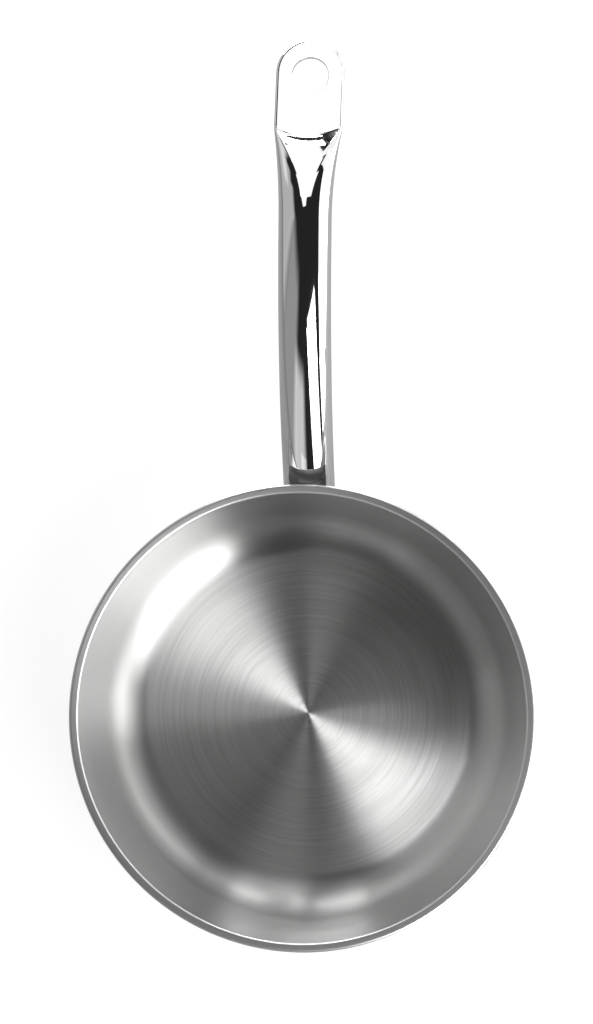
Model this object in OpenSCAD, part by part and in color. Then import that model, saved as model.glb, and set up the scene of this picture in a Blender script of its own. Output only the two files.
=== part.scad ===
// Stainless-steel frying pan with an encapsulated base and a hollow welded handle.
// The origin is the centre of the face that rests on the hob, and the handle points along +Y.

/* [Vessel] */
// Diameter of the opening inside the pouring rim
opening_d = 200; // [190:1:250]
// Height from the hob to the top of the pouring rim
vessel_h = 48; // [44:1:70]
// Diameter of the flat cooking floor
floor_d = 146; // [130:1:156]
// Inside radius between the floor and the wall
corner_r = 20; // [8:0.5:21]
// Thickness of the drawn sheet
sheet_t = 0.8; // [0.6:0.05:1]
// Width of the pouring rim beyond the opening
lip_w = 4.2; // [3.4:0.1:7]
// Radius on top of the bend from the wall to the pouring rim
lip_bend_r = 1.3; // [1.2:0.1:1.8]
// Radius on top of the turned-down edge of the pouring rim
lip_edge_r = 1.1; // [1.05:0.05:1.6]
// Angle at which the pouring rim rises outwards
lip_rise = 11; // [0:1:14]
// Angle through which the edge of the pouring rim turns down
lip_turn = 70; // [30:1:85]

/* [Base] */
// Diameter of the aluminium core
core_d = 144; // [120:1:148]
// Thickness of the aluminium core
core_t = 4.2; // [2.5:0.1:6]
// Radius of the lower edge of the aluminium core
core_edge_r = 2; // [0.5:0.1:2.4]
// Thickness of the steel capsule
capsule_t = 0.6; // [0.4:0.05:0.9]

/* [Handle tube] */
// Width of the grip
grip_w = 23; // [20:0.5:26]
// Height of the grip
grip_h = 17; // [15:0.5:20]
// Thickness of the rolled sheet
tube_t = 1.2; // [0.9:0.05:1.5]
// Height of the grip's axis where it leaves the wall
root_z = 32.5; // [30:0.5:38]
// Angle of the axis above level where it leaves the wall
root_angle = 12; // [8:1:18]
// Distance of the elbow's start inside the edge of the pouring rim
elbow_setback = 7.5; // [7:0.1:8]
// Radius of the axis in the elbow
elbow_r = 18; // [16:0.5:24]
// Angle of the axis above level after the elbow
rise_angle = 42; // [34:1:44]
// Length of the straight neck after the elbow
neck_l = 16.5; // [15:0.5:24]
// Radius of the axis in the long arch of the grip
arch_r = 202; // [150:1:260]
// Angle of the axis above level at the end of the arch
arch_end_angle = 10; // [6:1:14]
// Length over which the tube is pressed flat
flare_l = 40; // [34:0.5:50]

/* [Window] */
// Width of the window in the top of the neck
window_w = 16.4; // [12:0.1:17]
// Length of the neck that stays a whole tube behind the window
collar_l = 1.8; // [1:0.1:6]
// Depth of the rounded tongue that the window's far edge makes
tongue_sag = 1.4; // [0.4:0.1:2]

/* [Hanging tab] */
// Width of the flattened tab
tab_w = 29.6; // [27:0.1:34]
// Length of the tab from its creased corners to its tip
tab_l = 39.5; // [32:0.5:50]
// Angle at which the tab droops below level
tab_angle = 8; // [4:1:12]
// Depth of the tab's middle plane under the tube's axis
tab_drop = 4; // [2:0.5:5]
// Sag of the curved crease in front of the tab
crease_sag = 3.4; // [1:0.1:5]
// Diameter of the hanging hole
hole_d = 16; // [10:0.5:18]
// Distance from the centre of the hanging hole to the tip
hole_to_tip = 16.2; // [15:0.1:20]

/* [End plug] */
// Thickness of the end plug
plug_t = 1; // [0.8:0.1:1.5]
// Radius of the end plug's rounded nose
plug_nose_r = 11; // [10.5:0.1:13]
// Angle at which the end plug leans away from the pan
plug_lean = 13; // [4:1:16]
// Distance of the end plug's nose behind the edge of the window
plug_setback = 0.5; // [0.3:0.1:1]
// Width of the ledge along the foot of the end plug
plug_foot_w = 1.8; // [1:0.1:2.5]
// Height of the ledge along the foot of the end plug
plug_foot_h = 1.4; // [1:0.1:2]

/* [Root bracket] */
// Thickness of the bracket
bracket_t = 1.2; // [0.8:0.1:1.6]
// Height of the bracket's top above the tube's axis
bracket_rise = 3; // [2.4:0.1:3.6]
// Diameter of each spot weld
spot_d = 3.2; // [2.6:0.1:3.4]
// Distance from the spot welds to the edge of the bracket
spot_margin = 0.4; // [0.2:0.1:0.6]
// Distance between the spot welds across the bracket
spot_gap_x = 8; // [6:0.1:9]
// Leg of the weld bead around the root
weld_leg = 1.3; // [0.8:0.1:1.8]

/* [Hidden] */

// Clearances between pieces that are pressed, slid or welded together.
core_clearance = 0.05;
wall_gap = 0.15;
spot_gap = 0.3;
slip_clearance = 0.1;
// Overrun of a cutting shape, and depth by which the flattened end is sunk in the tab.
overrun = 1;
sink = 0.02;

// Steps in an arc of a turned outline, points round the tube, and steps along the tube's stretches.
arc_steps = 10;
tube_points = 40;
elbow_steps = 4;
arch_steps = 9;
flare_steps = 10;
$fn = 96;

// Steel and aluminium, as they show.
steel = [0.78, 0.78, 0.78];
steel_dark = [0.62, 0.62, 0.63];
aluminium = [0.86, 0.87, 0.88];

// Heights and radii of the vessel.
shell_under_z = capsule_t + core_t;
floor_z = shell_under_z + sheet_t;
floor_r = floor_d / 2;
rim_r = opening_d / 2 + lip_w;
corner_centre = [floor_r, floor_z + corner_r];
edge_centre = [rim_r - lip_edge_r, vessel_h - lip_edge_r];

// The rim's band is the line that touches the arcs of its bend and of its edge.
lip_taper = lip_bend_r - lip_edge_r;
bend_r = opening_d / 2 + lip_bend_r;
band_l = (edge_centre[0] - bend_r + lip_taper * sin(lip_rise)) / cos(lip_rise);
bend_centre = [bend_r, edge_centre[1] - lip_taper * cos(lip_rise) - band_l * sin(lip_rise)];

// The wall is the line that touches the corner's arc on one side and the rim's bend on the other.
corner_to_bend = bend_centre - corner_centre;
wall_angle = atan2(corner_to_bend[1], corner_to_bend[0])
    + asin((corner_r + lip_bend_r) / norm(corner_to_bend));
wall_foot = corner_centre + (corner_r + sheet_t) * [sin(wall_angle), -cos(wall_angle)];

// Outer radius of the wall at height z, moved out by a distance measured square to the wall.
function wall_radius(z, off = 0) =
    wall_foot[0] + (z - wall_foot[1]) / tan(wall_angle) + off / sin(wall_angle);

function arc(centre, r, from, to) =
    [for (i = [0:arc_steps]) let (a = from + (to - from) * i / arc_steps)
        centre + r * [cos(a), sin(a)]];

// The handle's axis lies in the plane x = 0 and its points are [y, z].
function along(angle) = [cos(angle), sin(angle)];
function above(angle) = [-sin(angle), cos(angle)];

root_point = [wall_radius(root_z), root_z];
stub_l = (rim_r - elbow_setback - root_point[0]) / cos(root_angle);
elbow_start = root_point + stub_l * along(root_angle);
elbow_centre = elbow_start + elbow_r * above(root_angle);
elbow_end = elbow_centre - elbow_r * above(rise_angle);
neck_end = elbow_end + neck_l * along(rise_angle);
arch_centre = neck_end - arch_r * above(rise_angle);
arch_end = arch_centre + arch_r * above(arch_end_angle);
flare_turn = arch_end_angle + tab_angle;
flare_r = flare_l / (flare_turn * PI / 180);
flare_centre = arch_end - flare_r * above(arch_end_angle);
flare_end = flare_centre + flare_r * above(-tab_angle);
tab_origin = flare_end - tab_drop * above(-tab_angle);

grip_a = grip_w / 2;
grip_b = grip_h / 2;
tab_a = tab_w / 2;
hole_y = tab_l - hole_to_tip;
tip_y = tab_l - tab_a;
window_end = neck_l - collar_l;
// The tube starts this far inside the wall and is then cut to fit it.
root_l = stub_l + grip_h;
// How fast the tube is pressed flat: 1 would be an even rate.
flare_power = 2;
// The cavity stops where it is this high, just before the two layers meet.
slot_h = 0.3;
cavity_end = pow(1 - slot_h / (grip_h - 2 * tube_t), 1 / flare_power);

// Outline of the tube: an ellipse whose halves are moved apart, each by half of the flat between them.
function tube_outline(a, b, half_flat = 0) =
    [for (i = [0:tube_points - 1])
        let (
            t = 360 * (i + 0.5) / tube_points,
            x = (a + half_flat) * cos(t),
            round_x = max(0, abs(x) - half_flat) / a
        )
        [x, sign(sin(t)) * b * sqrt(1 - pow(round_x, 2))]];

module tube_section(inset = 0) {
    polygon(tube_outline(grip_a - inset, grip_b - inset));
}

// A ring of the tube at a point of the axis.
function tube_ring(point, angle, inset) =
    [for (q = tube_outline(grip_a - inset, grip_b - inset)) [q[0], each point + q[1] * above(angle)]];

// The rings from inside the wall, through the elbow and the neck, to the end of the arch.
function grip_rings(inset) = concat(
    [tube_ring(elbow_start - root_l * along(root_angle), root_angle, inset)],
    [for (i = [0:elbow_steps]) let (a = root_angle + (rise_angle - root_angle) * i / elbow_steps)
        tube_ring(elbow_centre - elbow_r * above(a), a, inset)],
    [for (i = [0:arch_steps]) let (a = rise_angle + (arch_end_angle - rise_angle) * i / arch_steps)
        tube_ring(arch_centre + arch_r * above(a), a, inset)]
);

// The axis bows with the crease: a point is pulled back towards the pan, most in the middle.
function crease_pull(x) = crease_sag * (1 - pow(x / tab_a, 2));

// A ring of the flattened end at u, from 0 at the round tube to 1 at the tab, where it is sunk a little.
function flare_ring(u, inset) =
    let (
        p = pow(u, flare_power),
        angle = arch_end_angle - u * flare_turn,
        centre = flare_centre + (flare_r - p * tab_drop) * above(angle),
        a = (1 - p) * grip_a + p * (tube_t - sink) - inset,
        b = (1 - p) * grip_b + p * (tube_t - sink) - inset
    )
    [for (q = tube_outline(a, b, p * (tab_a - tube_t)))
        [q[0], each centre + q[1] * above(angle) - p * crease_pull(q[0]) * along(angle)]];

function flare_rings(end, inset) = [for (k = [1:flare_steps]) flare_ring(end * k / flare_steps, inset)];

function flat_list(lists) = [for (l = lists) each l];

// Faces round a skin of rings whose points start at index first, seen from outside or from inside.
function skin_faces(first, rings, outside) =
    [for (k = [0:rings - 2], i = [0:tube_points - 1])
        let (
            a = first + k * tube_points + i,
            b = first + k * tube_points + (i + 1) % tube_points,
            c = b + tube_points,
            d = a + tube_points
        )
        each (outside ? [[a, b, c], [a, c, d]] : [[a, c, b], [a, d, c]])];

// Faces that close a ring between its upper and its lower half.
function cap_faces(first, forwards) =
    [for (i = [0:tube_points / 2 - 2])
        let (a = first + i, b = a + 1, c = first + tube_points - 2 - i, d = c + 1)
        each (forwards ? [[a, b, c], [a, c, d]] : [[a, c, b], [a, d, c]])];

// Faces between the first ring of an outer skin and that of an inner skin.
function mouth_faces(outer_first, inner_first) =
    [for (i = [0:tube_points - 1])
        let (j = (i + 1) % tube_points, a = outer_first + i, b = inner_first + i, c = inner_first + j)
        each [[a, b, c], [a, c, outer_first + j]]];

// Places a child that lies along +Y at a point of the axis, tipped up by the axis's angle.
module at_axis(point, angle) {
    translate([0, point[0], point[1]]) rotate([angle, 0, 0]) children();
}

// A straight stretch along +Y of a section given by its x across and its y up.
module stretch(from, to) {
    translate([0, to, 0]) rotate([90, 0, 0]) linear_extrude(to - from) children();
}

// A cone as steep as the wall, moved out from its outer face by a distance square to the wall.
module wall_cone(off) {
    cylinder(h = vessel_h, r1 = wall_radius(0, off), r2 = wall_radius(vessel_h, off));
}

module pan_body() {
    top = 90;
    slope = top + wall_angle;
    band = top + lip_rise;
    edge_end = top - lip_turn;
    tip = edge_centre + (lip_edge_r - sheet_t / 2) * along(edge_end);
    color(steel) rotate_extrude() polygon(concat(
        [[0, shell_under_z], [0, floor_z]],
        arc(corner_centre, corner_r, -top, -top + wall_angle),
        arc(bend_centre, lip_bend_r, slope, band),
        arc(edge_centre, lip_edge_r, band, edge_end),
        arc(tip, sheet_t / 2, edge_end, edge_end - 180),
        arc(edge_centre, lip_edge_r - sheet_t, edge_end, band),
        arc(bend_centre, lip_bend_r - sheet_t, band, slope),
        arc(corner_centre, corner_r + sheet_t, -top + wall_angle, -top)
    ));
}

module heat_core() {
    core_r = core_d / 2;
    edge = [core_r - core_edge_r, capsule_t + core_edge_r];
    color(aluminium) rotate_extrude() polygon(concat(
        [[0, shell_under_z], [0, capsule_t]],
        arc(edge, core_edge_r, -90, 0),
        [[core_r, shell_under_z]]
    ));
}

// A cup that hugs the core and meets the underside of the floor.
module base_capsule() {
    inner_r = core_d / 2 + core_clearance;
    inner_edge_r = core_edge_r + core_clearance;
    edge = [inner_r - inner_edge_r, capsule_t + inner_edge_r];
    color(steel) rotate_extrude() polygon(concat(
        [[0, capsule_t], [0, 0]],
        arc(edge, inner_edge_r + capsule_t, -90, 0),
        [[inner_r + capsule_t, shell_under_z], [inner_r, shell_under_z]],
        arc(edge, inner_edge_r, 0, -90)
    ));
}

// The hollow tube from inside the wall to the tab, open at the root and pressed flat at the end.
module hollow_tube() {
    outer = concat(grip_rings(0), flare_rings(1, 0));
    inner = concat(grip_rings(tube_t), flare_rings(cavity_end, tube_t));
    inner_first = len(outer) * tube_points;
    polyhedron(
        points = flat_list(concat(outer, inner)),
        faces = concat(
            skin_faces(0, len(outer), true),
            skin_faces(inner_first, len(inner), false),
            mouth_faces(0, inner_first),
            cap_faces(inner_first - tube_points, true),
            cap_faces(inner_first + (len(inner) - 1) * tube_points, false)
        )
    );
}

// The window: straight sides, and a far edge that a rounded tongue of the tube reaches into.
module window_space() {
    tongue_r = (pow(window_w / 2, 2) + pow(tongue_sag, 2)) / (2 * tongue_sag);
    behind = root_l + elbow_r;
    at_axis(elbow_end, rise_angle) linear_extrude(grip_h) difference() {
        translate([-window_w / 2, -behind]) square([window_w, behind + window_end + tongue_sag]);
        translate([0, window_end + tongue_r]) circle(tongue_r);
    }
}

// The flat tab, with rounded sides, a round end, a hanging hole and a tongue back to the crease.
module tab() {
    side_x = tab_a - tube_t;
    half = tube_points / 2;
    crease = [for (i = [0:half]) let (x = side_x * (1 - 2 * i / half)) [x, -crease_pull(x) - overrun]];
    at_axis(tab_origin, -tab_angle) difference() {
        union() {
            stretch(-crease_pull(side_x), tip_y) polygon(tube_outline(tube_t, tube_t, side_x));
            translate([0, tip_y, 0]) rotate_extrude(angle = 180) intersection() {
                polygon(tube_outline(tube_t, tube_t, side_x));
                translate([0, -tube_t]) square([tab_w, 2 * tube_t]);
            }
            linear_extrude(2 * tube_t, center = true)
                polygon(concat([[-side_x, overrun], [side_x, overrun]], crease));
        }
        translate([0, hole_y, 0]) cylinder(h = 2 * tube_t + 2 * overrun, d = hole_d, center = true);
    }
}

module handle_tube() {
    color(steel) {
        difference() {
            hollow_tube();
            wall_cone(wall_gap);
            window_space();
        }
        tab();
    }
}

// The space inside the tube, less a clearance, from inside the wall to the end of the arch.
module bore_space(inset) {
    rings = grip_rings(inset);
    polyhedron(
        points = flat_list(rings),
        faces = concat(
            skin_faces(0, len(rings), true),
            cap_faces(0, false),
            cap_faces((len(rings) - 1) * tube_points, true)
        )
    );
}

// A round-nosed curtain that closes the tube just behind the window, with a ledge along its foot.
module end_plug() {
    neck_point = elbow_end + (window_end + plug_setback) * along(rise_angle);
    nose = neck_point + (grip_b - tube_t) * above(rise_angle);
    down = -above(-plug_lean);
    // Distance from the nose's top, down the lean, to the floor of the elbow.
    reach = nose - elbow_centre;
    floor_radius = elbow_r + grip_b - tube_t;
    nose_h = sqrt(pow(reach * down, 2) + pow(floor_radius, 2) - reach * reach) - reach * down;
    color(steel_dark) intersection() {
        translate([0, nose[0], nose[1]]) rotate([-plug_lean, 0, 0])
            translate([0, plug_nose_r, 0]) rotate_extrude(angle = 180, start = 180) {
                translate([plug_nose_r - plug_t, -nose_h - grip_h])
                    square([plug_t, nose_h + 2 * grip_h]);
                translate([plug_nose_r - plug_t, -nose_h - grip_h])
                    square([plug_t + plug_foot_w, grip_h + plug_foot_h]);
            }
        bore_space(tube_t + slip_clearance);
    }
}

// The tube's section below a line at a height above the axis.
module lower_section(inset, rise) {
    intersection() {
        tube_section(inset);
        translate([-grip_w, rise - 2 * grip_h]) square([2 * grip_w, 2 * grip_h]);
    }
}

// A half cup in the tube's mouth: a foot plate against the wall, and a tongue along the floor.
module root_bracket() {
    inset = tube_t + slip_clearance;
    color(steel_dark) difference() {
        at_axis(elbow_start, root_angle) stretch(-root_l, grip_h) lower_section(inset, bracket_rise);
        wall_cone(spot_gap);
        difference() {
            at_axis(elbow_start, root_angle) {
                stretch(-root_l - overrun, overrun) tube_section(inset + bracket_t);
                stretch(0, grip_h + overrun) tube_section();
            }
            wall_cone(spot_gap + bracket_t);
        }
    }
}

// The nuggets that join the foot plate to the wall, two across and two up.
module spot_welds() {
    inset = tube_t + slip_clearance;
    edge = spot_margin + spot_d / 2;
    spot_x = spot_gap_x / 2;
    high = bracket_rise - edge;
    low = edge - (grip_b - inset) * sqrt(1 - pow(spot_x / (grip_a - inset), 2));
    color(steel_dark) intersection() {
        difference() {
            wall_cone(spot_gap);
            wall_cone(0);
        }
        at_axis(root_point, root_angle) for (x = [-spot_x, spot_x], z = [high, low])
            translate([x, 0, z]) rotate([90, 0, 0]) cylinder(h = grip_h, d = spot_d, center = true);
    }
}

// A bead that joins the outside of the tube's lower half to the wall.
module root_weld() {
    color(steel_dark) intersection() {
        difference() {
            wall_cone(weld_leg);
            wall_cone(0);
        }
        at_axis(elbow_start, root_angle) stretch(-root_l, 0) difference() {
            lower_section(-weld_leg, 0);
            tube_section();
        }
    }
}

pan_body();
heat_core();
base_capsule();
handle_tube();
end_plug();
root_bracket();
spot_welds();
root_weld();
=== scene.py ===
"""Frying pan: a drawn steel vessel, a sandwich base and a polished hollow handle.

Lengths are in metres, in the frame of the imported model: the origin is the centre of the face that
rests on the hob, the handle points along +Y, and Z is up.
"""

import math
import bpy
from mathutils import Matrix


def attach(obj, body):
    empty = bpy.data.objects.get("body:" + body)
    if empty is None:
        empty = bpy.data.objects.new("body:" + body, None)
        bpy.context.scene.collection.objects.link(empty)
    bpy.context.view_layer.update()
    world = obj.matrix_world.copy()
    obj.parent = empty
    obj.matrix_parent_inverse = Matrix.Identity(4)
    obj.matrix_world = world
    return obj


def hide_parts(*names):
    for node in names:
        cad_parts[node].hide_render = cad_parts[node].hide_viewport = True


bl_info = {
    "name": "Frying Pan",
    "version": (1, 0, 0),
    "blender": (4, 5, 0),
    "location": "3D Viewport > Sidebar > Pan",
    "description": "Makes a steel frying pan with a sandwich base and a polished hollow handle",
    "category": "Add Mesh",
}

import bmesh
import bpy
import numpy as np
from bpy.props import FloatProperty, FloatVectorProperty, IntProperty, PointerProperty
from mathutils import Matrix, Vector

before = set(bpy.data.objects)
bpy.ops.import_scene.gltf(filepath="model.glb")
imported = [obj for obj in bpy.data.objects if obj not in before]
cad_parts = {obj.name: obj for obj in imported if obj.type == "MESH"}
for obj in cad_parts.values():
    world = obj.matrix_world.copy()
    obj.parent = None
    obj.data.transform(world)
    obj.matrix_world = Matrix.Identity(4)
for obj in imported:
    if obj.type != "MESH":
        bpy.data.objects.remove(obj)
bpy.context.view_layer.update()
BODY = "root"
MM = 0.001
MERGE_DISTANCE = 0.001 * MM


def length(name, text, default):
    return FloatProperty(name=name, description=text, default=default, min=0, precision=5, unit="LENGTH")


def angle(name, text, degrees):
    return FloatProperty(name=name, description=text, default=math.radians(degrees), unit="ROTATION")


def share(name, text, default):
    return FloatProperty(name=name, description=text, default=default, min=0, max=1, subtype="FACTOR")


def ratio(name, text, default):
    return FloatProperty(name=name, description=text, default=default, min=0)


def colour(name, text, default):
    return FloatVectorProperty(
        name=name, description=text, default=default, min=0, max=1, size=4, subtype="COLOR"
    )


def count(name, text, default):
    return IntProperty(name=name, description=text, default=default, min=3)


class VesselSizes(bpy.types.PropertyGroup):
    """Sizes of the drawn vessel and of the base under it."""

    opening_d: length("Opening", "Diameter of the opening inside the pouring rim", 0.200)
    height: length("Height", "Height from the hob to the top of the pouring rim", 0.048)
    floor_d: length("Floor", "Diameter of the flat cooking floor", 0.146)
    corner_r: length("Corner", "Inside radius between the floor and the wall", 0.020)
    sheet_t: length("Sheet", "Thickness of the drawn sheet", 0.0008)
    lip_w: length("Lip", "Width of the pouring rim beyond the opening", 0.0042)
    lip_bend_r: length("Lip bend", "Radius on top of the bend from the wall to the rim", 0.0013)
    lip_edge_r: length("Lip edge", "Radius on top of the turned-down edge of the rim", 0.0011)
    lip_rise: angle("Lip rise", "Angle at which the rim rises outwards", 11)
    lip_turn: angle("Lip turn", "Angle through which the edge of the rim turns down", 70)
    core_d: length("Core", "Diameter of the aluminium core", 0.144)
    core_t: length("Core thickness", "Thickness of the aluminium core", 0.0042)
    core_edge_r: length("Core edge", "Radius of the lower edge of the core", 0.002)
    cup_t: length("Cup", "Thickness of the steel cup under the core", 0.0006)
    turns: count("Turned steps", "Steps round the turned pieces", 384)


class HandleSizes(bpy.types.PropertyGroup):
    """Sizes of the handle's tube and of its hanging tab."""

    grip_w: length("Grip width", "Width of the grip", 0.023)
    grip_h: length("Grip height", "Height of the grip", 0.017)
    tube_t: length("Sheet", "Thickness of the rolled sheet", 0.0012)
    root_z: length("Root height", "Height of the axis where it leaves the wall", 0.0325)
    root_angle: angle("Root angle", "Angle of the axis above level at the wall", 12)
    elbow_setback: length("Elbow setback", "Distance of the elbow's start inside the rim's edge", 0.0075)
    elbow_r: length("Elbow", "Radius of the axis in the elbow", 0.018)
    rise_angle: angle("Rise angle", "Angle of the axis above level after the elbow", 42)
    neck_l: length("Neck", "Length of the straight neck after the elbow", 0.0165)
    arch_r: length("Arch", "Radius of the axis in the long arch of the grip", 0.202)
    arch_end_angle: angle("Arch end", "Angle of the axis above level at the end of the arch", 10)
    flare_l: length("Flare", "Length over which the tube is pressed flat", 0.040)
    flare_power: ratio("Flare rate", "Power by which the flattening gathers pace along the flare", 2)
    window_w: length("Window", "Width of the window in the top of the neck", 0.0164)
    collar_l: length("Collar", "Length of the neck left whole behind the window", 0.0018)
    tongue_sag: length("Tongue", "Depth of the rounded tongue at the window's far edge", 0.0014)
    wall_gap: length("Wall gap", "Gap between the tube's mouth and the wall", 0.00015)
    tab_w: length("Tab width", "Width of the flattened tab", 0.0296)
    tab_l: length("Tab length", "Length of the tab from its creased corners to its tip", 0.0395)
    tab_angle: angle("Tab angle", "Angle at which the tab droops below level", 8)
    tab_drop: length("Tab drop", "Depth of the tab's middle under the tube's axis", 0.004)
    crease_sag: length("Crease sag", "Sag of the curved crease in front of the tab", 0.0034)
    crease_blend: length("Crease blend", "Length of the blend on each side of the crease", 0.0014)
    hole_d: length("Hole", "Diameter of the hanging hole", 0.016)
    hole_to_tip: length("Hole to tip", "Distance from the hole's centre to the tip", 0.0162)
    edge_round: length("Edge round", "Radius of the deburred edges", 0.00025)


def direction(a):
    """Unit vector (y, z) along the handle's axis, where it stands at angle a above level."""
    return np.array([math.cos(a), math.sin(a)])


def upwards(a):
    """Unit vector (y, z) square to the handle's axis, on its upper side."""
    return np.array([-math.sin(a), math.cos(a)])


class VesselShape:
    """Outlines of the turned pieces, each a list of (radius, height)."""

    def __init__(self, v):
        self.v = v
        self.shell_under_z = v.cup_t + v.core_t
        self.floor_z = self.shell_under_z + v.sheet_t
        self.rim_r = v.opening_d / 2 + v.lip_w
        self.corner = np.array([v.floor_d / 2, self.floor_z + v.corner_r])
        self.edge = np.array([self.rim_r - v.lip_edge_r, v.height - v.lip_edge_r])
        taper, bend_r = v.lip_bend_r - v.lip_edge_r, v.opening_d / 2 + v.lip_bend_r
        band_l = (self.edge[0] - bend_r + taper * math.sin(v.lip_rise)) / math.cos(v.lip_rise)
        drop = taper * math.cos(v.lip_rise) + band_l * math.sin(v.lip_rise)
        self.bend = np.array([bend_r, self.edge[1] - drop])
        span = self.bend - self.corner
        self.wall_angle = math.atan2(span[1], span[0]) + math.asin(
            (v.corner_r + v.lip_bend_r) / np.linalg.norm(span)
        )
        outward = np.array([math.sin(self.wall_angle), -math.cos(self.wall_angle)])
        self.wall_foot = self.corner + (v.corner_r + v.sheet_t) * outward

    def wall_radius(self, z, off=0.0):
        """Outer radius of the wall at height z, moved out square to the wall by off."""
        sideways = (z - self.wall_foot[1]) / math.tan(self.wall_angle)
        return self.wall_foot[0] + sideways + off / math.sin(self.wall_angle)


def arc(centre, radius, start, end, steps):
    """Points of an arc between two angles, with its ends."""
    angles = [start + (end - start) * i / steps for i in range(steps + 1)]
    return [centre + radius * direction(a) for a in angles]


class TubeShape:
    """The handle's axis and its sections."""

    BISECTIONS = 40

    def __init__(self, h, vessel):
        self.h, self.vessel = h, vessel
        root = np.array([vessel.wall_radius(h.root_z), h.root_z])
        stub_l = (vessel.rim_r - h.elbow_setback - root[0]) / math.cos(h.root_angle)
        self.elbow_start = root + stub_l * direction(h.root_angle)
        self.elbow_centre = self.elbow_start + h.elbow_r * upwards(h.root_angle)
        self.elbow_end = self.elbow_centre - h.elbow_r * upwards(h.rise_angle)
        self.neck_end = self.elbow_end + h.neck_l * direction(h.rise_angle)
        self.arch_centre = self.neck_end - h.arch_r * upwards(h.rise_angle)
        arch_end = self.arch_centre + h.arch_r * upwards(h.arch_end_angle)
        self.flare_turn = h.arch_end_angle + h.tab_angle
        self.flare_r = h.flare_l / self.flare_turn
        self.flare_centre = arch_end - self.flare_r * upwards(h.arch_end_angle)
        flare_end = self.flare_centre + self.flare_r * upwards(-h.tab_angle)
        self.tab_origin = flare_end - h.tab_drop * upwards(-h.tab_angle)
        # Distances along the axis, from the start of the elbow, at which its stretches begin and end.
        self.neck_from = h.elbow_r * (h.rise_angle - h.root_angle)
        self.arch_from = self.neck_from + h.neck_l
        self.flare_from = self.arch_from + h.arch_r * (h.rise_angle - h.arch_end_angle)
        self.end = self.flare_from + h.flare_l
        self.grip = np.array([h.grip_w / 2, h.grip_h / 2])
        self.side_x = h.tab_w / 2 - h.tube_t
        self.tip_y = h.tab_l - h.tab_w / 2

    def frame_at(self, s):
        """Point (y, z) of the axis at distance s, and its angle, before the flare."""
        h = self.h
        if s < 0:
            return self.elbow_start + s * direction(h.root_angle), h.root_angle
        if s < self.neck_from:
            a = h.root_angle + s / h.elbow_r
            return self.elbow_centre - h.elbow_r * upwards(a), a
        if s < self.arch_from:
            return self.elbow_end + (s - self.neck_from) * direction(h.rise_angle), h.rise_angle
        a = h.rise_angle - (s - self.arch_from) / h.arch_r
        return self.arch_centre + h.arch_r * upwards(a), a

    def crease_pull(self, x):
        """Distance by which the curved crease is drawn back at place x across the tab."""
        return self.h.crease_sag * (1 - (x / (self.h.tab_w / 2)) ** 2)

    def point(self, s, t, inset=0.0):
        """Point of the skin at distance s along the axis and at angle t round the section."""
        h = self.h
        if s <= self.flare_from:
            centre, a = self.frame_at(s)
            x, q = (self.grip - inset) * (math.cos(t), math.sin(t))
            return np.array([x, *(centre + q * upwards(a))])
        u = min((s - self.flare_from) / h.flare_l, 1)
        p = u**h.flare_power
        a = h.arch_end_angle - u * self.flare_turn
        centre = self.flare_centre + (self.flare_r - p * h.tab_drop) * upwards(a)
        wide, high = (1 - p) * self.grip + p * h.tube_t - inset
        half_flat = p * self.side_x
        x = (wide + half_flat) * math.cos(t)
        bulge = max(0.0, abs(x) - half_flat) / wide
        q = math.copysign(high * math.sqrt(max(0.0, 1 - bulge * bulge)), math.sin(t))
        along = p * self.crease_pull(x)
        return np.array([x, *(centre + q * upwards(a) - along * direction(a))])

    def mouth(self, t, inset=0.0):
        """Distance along the axis at which a line of the skin meets the wall's gap."""
        low, high = -self.h.grip_h, self.neck_from

        def clearance(s):
            x, y, z = self.point(s, t, inset)
            return math.hypot(x, y) - self.vessel.wall_radius(z, self.h.wall_gap)

        for _ in range(self.BISECTIONS):
            middle = (low + high) / 2
            if clearance(middle) < 0:
                low = middle
            else:
                high = middle
        return high

    def on_tab(self, x, y, z):
        """Point of the tab, y along it from its creased corners and z square to it."""
        a = -self.h.tab_angle
        return np.array([x, *(self.tab_origin + y * direction(a) + z * upwards(a))])


def rim_loop(columns, rows_up, first, last):
    """Places (column, row) round the window and the mouth, in the numbering of tube_grid."""
    tongue = [(i, rows_up) for i in range(first, last)]
    left = [(last, row) for row in range(rows_up, 0, -1)]
    mouth = [(i % columns, 0) for i in range(last, first + columns)]
    right = [(first, row) for row in range(0, rows_up)]
    return tongue + left + mouth + right


def spaced(start, stop, steps):
    """Even places from start towards stop, without stop."""
    return [start + (stop - start) * i / steps for i in range(steps)]


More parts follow.
